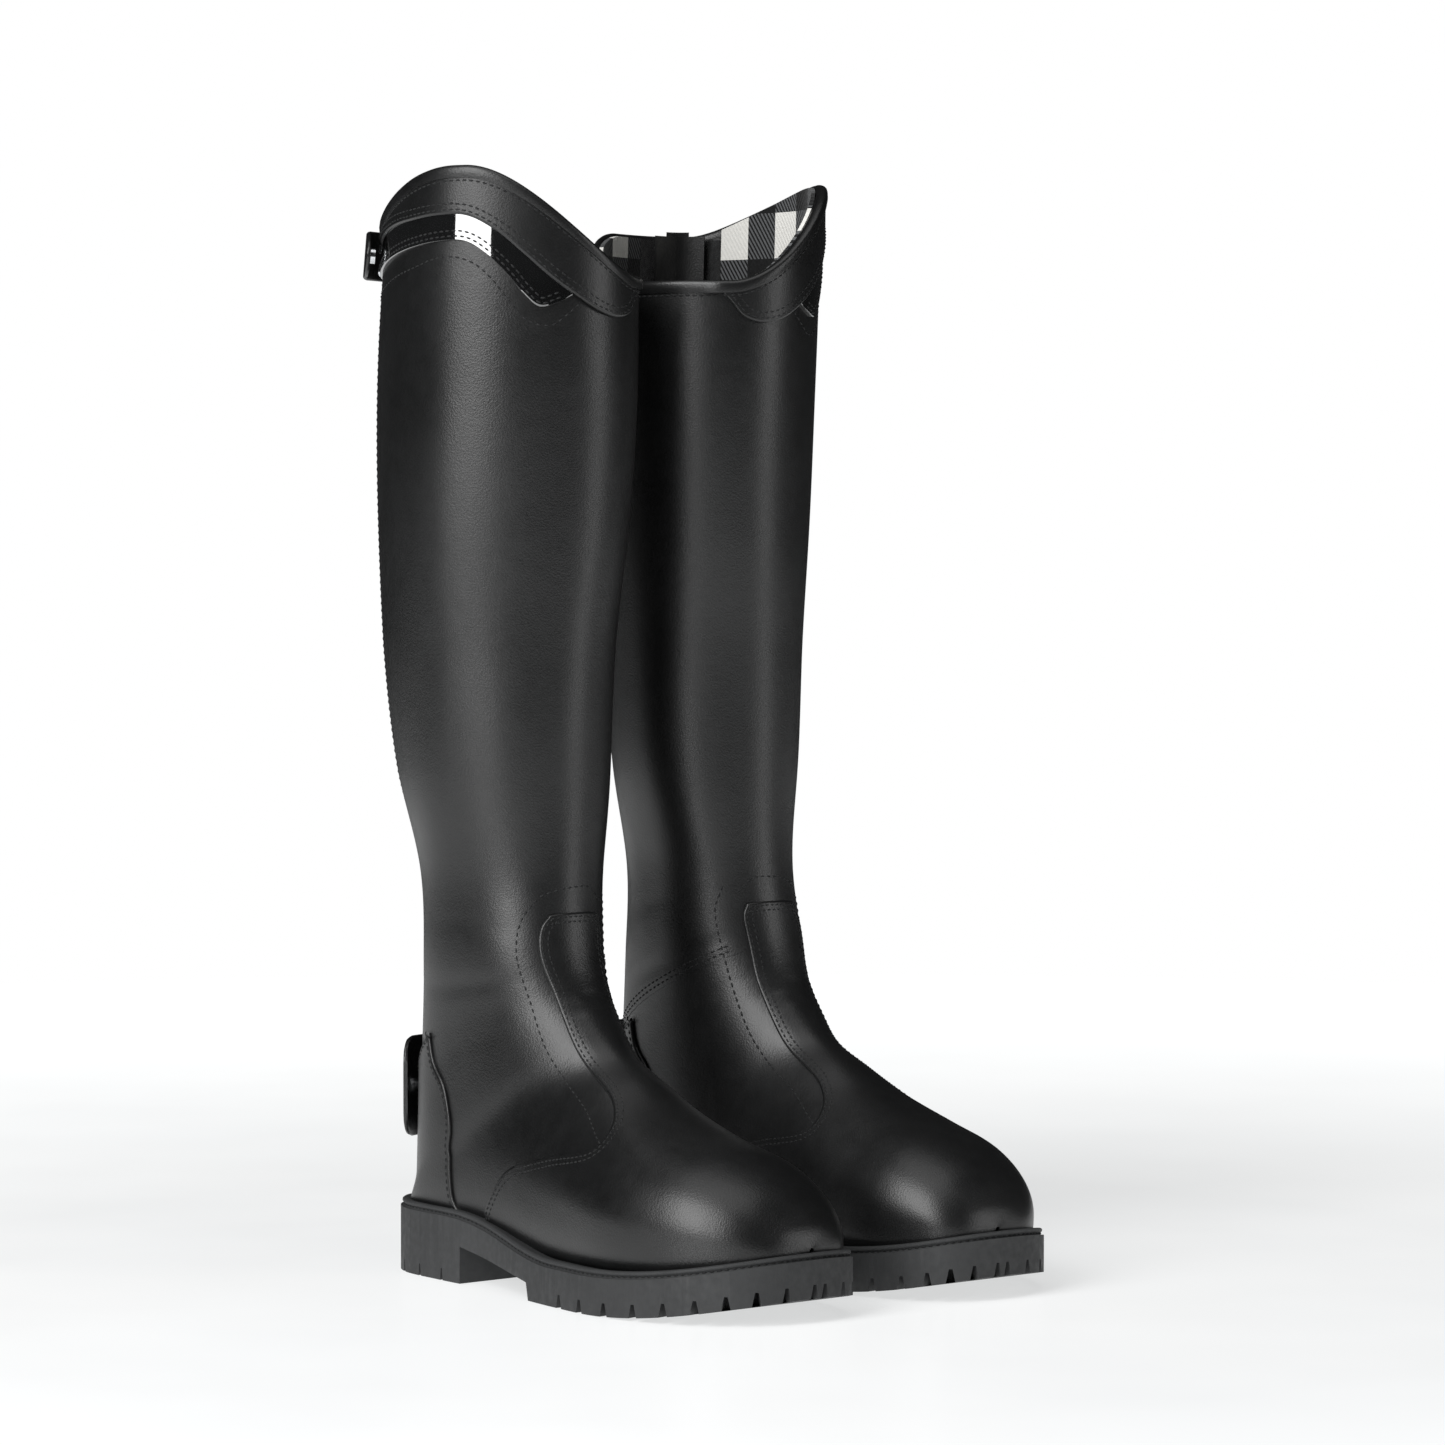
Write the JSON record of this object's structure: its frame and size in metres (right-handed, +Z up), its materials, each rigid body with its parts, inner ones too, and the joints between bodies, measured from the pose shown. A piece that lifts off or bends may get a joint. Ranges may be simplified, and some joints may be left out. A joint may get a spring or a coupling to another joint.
{
  "type": "tall winter riding boots",
  "caption": "Pair of tall black leather riding boots with a back zip, snap tabs, a patent band under the cuff, a warm plaid and fleece lining and a lugged rubber sole.",
  "frame": {"origin": "centre of the bounding box in plan, at the floor the soles stand on", "axes": "+Z up, -Y towards the toes, +X towards the wearer's left, so the left boot stands at +X and the right boot at -X"},
  "size_m": [0.235, 0.2856, 0.5126],
  "materials": {
    "leather": "waxed, fine grain",
    "patent": "high gloss",
    "rubber": "matte",
    "steel": "plain",
    "board": "matte",
    "fleece": "short pile",
    "plaid": "woven check",
    "stiffener": "matte",
    "tape": "woven",
    "zip_teeth": "satin",
    "bright_metal": "polished"
  },
  "bodies": {
    "right_boot": {"outsole_right": "rubber", "welt_right": "rubber", "shank_right": "steel", "insole_board_right": "board", "footbed_right": "fleece", "shaft_leather_right": "leather", "inner_quarter_right": "leather", "vamp_right": "leather", "heel_counter_right": "leather", "top_cuff_right": "leather", "patent_band_right": "patent", "rim_binding_right": "leather", "plaid_lining_right": "plaid", "fleece_lining_right": "fleece", "toe_puff_right": "stiffener", "heel_stiffener_right": "stiffener", "zip_tapes_right": "tape", "zip_teeth_right": "zip_teeth", "zip_stops_right": "bright_metal", "zip_guard_right": "leather", "top_tab_root_right": "patent", "heel_tab_root_right": "leather", "press_studs_right": "bright_metal"},
    "left_boot": {"outsole_left": "rubber", "welt_left": "rubber", "shank_left": "steel", "insole_board_left": "board", "footbed_left": "fleece", "shaft_leather_left": "leather", "inner_quarter_left": "leather", "vamp_left": "leather", "heel_counter_left": "leather", "top_cuff_left": "leather", "patent_band_left": "patent", "rim_binding_left": "leather", "plaid_lining_left": "plaid", "fleece_lining_left": "fleece", "toe_puff_left": "stiffener", "heel_stiffener_left": "stiffener", "zip_tapes_left": "tape", "zip_teeth_left": "zip_teeth", "zip_stops_left": "bright_metal", "zip_guard_left": "leather", "top_tab_root_left": "patent", "heel_tab_root_left": "leather", "press_studs_left": "bright_metal"},
    "right_zip_slider": {"zip_slider_right": "bright_metal"},
    "right_zip_pull": {"zip_pull_right": "bright_metal"},
    "right_top_tab": {"top_tab_right": "patent", "top_tab_socket_right": "bright_metal"},
    "right_heel_tab": {"heel_tab_right": "leather", "heel_tab_cap_right": "patent"},
    "left_zip_slider": {"zip_slider_left": "bright_metal"},
    "left_zip_pull": {"zip_pull_left": "bright_metal"},
    "left_top_tab": {"top_tab_left": "patent", "top_tab_socket_left": "bright_metal"},
    "left_heel_tab": {"heel_tab_left": "leather", "heel_tab_cap_left": "patent"}
  },
  "joints": [
    {"name": "left_boot_lift", "type": "slide", "parent": "right_boot", "child": "left_boot", "axis": [0, 0, 1], "range_m": [0, 0.3]},
    {"name": "right_zip_travel", "type": "hinge", "parent": "right_boot", "child": "right_zip_slider", "pos_m": [0.37691, -0.86386, 0.372], "axis": [-0.9063, -0.4226, 0], "range_deg": [0, 9.2]},
    {"name": "right_zip_pull_hinge", "type": "hinge", "parent": "right_zip_slider", "child": "right_zip_pull", "pos_m": [-0.08736, 0.13178, 0.47836], "axis": [0.9063, 0.4226, 0], "range_deg": [0, 14]},
    {"name": "right_top_tab_hinge", "type": "hinge", "parent": "right_boot", "child": "right_top_tab", "pos_m": [-0.07036, 0.13718, 0.4746], "axis": [-0.0394, 0.0845, -0.9956], "range_deg": [0, 120]},
    {"name": "right_heel_tab_hinge", "type": "hinge", "parent": "right_boot", "child": "right_heel_tab", "pos_m": [-0.04054, 0.12576, 0.084], "axis": [0, 0, -1], "range_deg": [0, 115]},
    {"name": "left_zip_travel", "type": "hinge", "parent": "left_boot", "child": "left_zip_slider", "pos_m": [-0.37691, -0.86386, 0.372], "axis": [-0.9063, 0.4226, 0], "range_deg": [0, 9.2]},
    {"name": "left_zip_pull_hinge", "type": "hinge", "parent": "left_zip_slider", "child": "left_zip_pull", "pos_m": [0.08736, 0.13178, 0.47836], "axis": [0.9063, -0.4226, 0], "range_deg": [0, 14]},
    {"name": "left_top_tab_hinge", "type": "hinge", "parent": "left_boot", "child": "left_top_tab", "pos_m": [0.07036, 0.13718, 0.4746], "axis": [-0.0394, -0.0845, 0.9956], "range_deg": [0, 120]},
    {"name": "left_heel_tab_hinge", "type": "hinge", "parent": "left_boot", "child": "left_heel_tab", "pos_m": [0.04054, 0.12576, 0.084], "axis": [0, 0, 1], "range_deg": [0, 115]}
  ]
}
